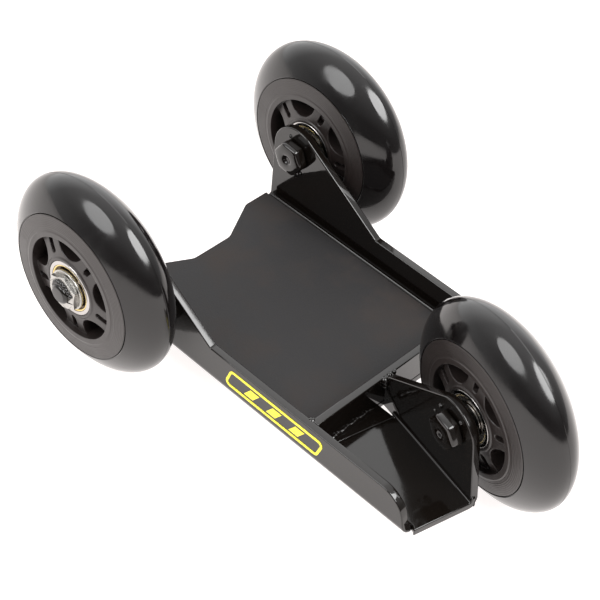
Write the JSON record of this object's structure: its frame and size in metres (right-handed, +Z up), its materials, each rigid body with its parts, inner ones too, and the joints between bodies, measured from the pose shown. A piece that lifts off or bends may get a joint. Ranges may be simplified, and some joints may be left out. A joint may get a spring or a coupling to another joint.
{
  "type": "wheel dolly",
  "caption": "Low folded-steel wheel dolly: a rubber-topped pan with raised ears, a cross wall and an angled front bracket, running on roller wheels with ball bearings.",
  "frame": {"origin": "middle of the ground rectangle that the dolly covers, on the ground", "axes": "+X from the rear wheels towards the single front wheel, +Y to the dolly's right, +Z up"},
  "size_m": [0.2178, 0.1556, 0.08],
  "materials": {
    "black_paint": "gloss black enamel on folded steel",
    "rubber_mat": "matte sheet rubber",
    "yellow_badge": "printed vinyl",
    "urethane_tyre": "glossy cast polyurethane",
    "core_plastic": "satin moulded nylon",
    "bearing_steel": "ground bearing steel",
    "yellow_zinc": "yellow passivated zinc",
    "cage_steel": "pressed steel",
    "spacer_alloy": "turned",
    "black_bolt": "black oxide and over-painted head",
    "black_collar": "black enamel",
    "bright_zinc": "bright zinc plate"
  },
  "bodies": {
    "chassis": {"deck_pan": "black_paint", "front_bracket": "black_paint", "stop_wall": "black_paint", "weld_beads": "black_paint", "deck_mat": "rubber_mat", "side_badge": "yellow_badge", "left_inner_races": "bearing_steel", "left_inner_spacer": "spacer_alloy", "left_axle_bolt": "black_bolt", "left_collar": "black_collar", "left_washer": "bright_zinc", "left_nut": "bright_zinc", "right_inner_races": "bearing_steel", "right_inner_spacer": "spacer_alloy", "right_axle_bolt": "black_bolt", "right_collar": "black_collar", "right_washer": "bright_zinc", "right_nut": "bright_zinc", "front_inner_races": "bearing_steel", "front_inner_spacer": "spacer_alloy", "front_axle_bolt": "black_bolt", "front_collar": "black_collar", "front_washer": "bright_zinc", "front_nut": "bright_zinc"},
    "left_wheel": {"left_tyre": "urethane_tyre", "left_core": "core_plastic", "left_outer_races": "bearing_steel", "left_bearing_shields": "yellow_zinc"},
    "left_cages": {"left_bearing_balls": "bearing_steel", "left_ball_cages": "cage_steel"},
    "right_wheel": {"right_tyre": "urethane_tyre", "right_core": "core_plastic", "right_outer_races": "bearing_steel", "right_bearing_shields": "yellow_zinc"},
    "right_cages": {"right_bearing_balls": "bearing_steel", "right_ball_cages": "cage_steel"},
    "front_wheel": {"front_tyre": "urethane_tyre", "front_core": "core_plastic", "front_outer_races": "bearing_steel", "front_bearing_shields": "yellow_zinc"},
    "front_cages": {"front_bearing_balls": "bearing_steel", "front_ball_cages": "cage_steel"}
  },
  "joints": [
    {"name": "left_wheel_spin", "type": "hinge", "parent": "chassis", "child": "left_wheel", "pos_m": [-0.06888, -0.0605, 0.04], "axis": [0, -1, 0], "continuous": true},
    {"name": "left_cage_spin", "type": "hinge", "parent": "chassis", "child": "left_cages", "pos_m": [-0.06888, -0.0605, 0.04], "axis": [0, -1, 0], "continuous": true},
    {"name": "right_wheel_spin", "type": "hinge", "parent": "chassis", "child": "right_wheel", "pos_m": [-0.06888, 0.0605, 0.04], "axis": [0, 1, 0], "continuous": true},
    {"name": "right_cage_spin", "type": "hinge", "parent": "chassis", "child": "right_cages", "pos_m": [-0.06888, 0.0605, 0.04], "axis": [0, 1, 0], "continuous": true},
    {"name": "front_wheel_spin", "type": "hinge", "parent": "chassis", "child": "front_wheel", "pos_m": [0.06972, 0.0011, 0.0399], "axis": [0.2209, 0.9724, 0.075], "continuous": true},
    {"name": "front_cage_spin", "type": "hinge", "parent": "chassis", "child": "front_cages", "pos_m": [0.06972, 0.0011, 0.0399], "axis": [0.2209, 0.9724, 0.075], "continuous": true}
  ],
  "couplings": [
    {"joint": "left_cage_spin", "follows": "left_wheel_spin", "ratio": 0.632},
    {"joint": "right_cage_spin", "follows": "right_wheel_spin", "ratio": 0.632},
    {"joint": "front_cage_spin", "follows": "front_wheel_spin", "ratio": 0.632}
  ]
}
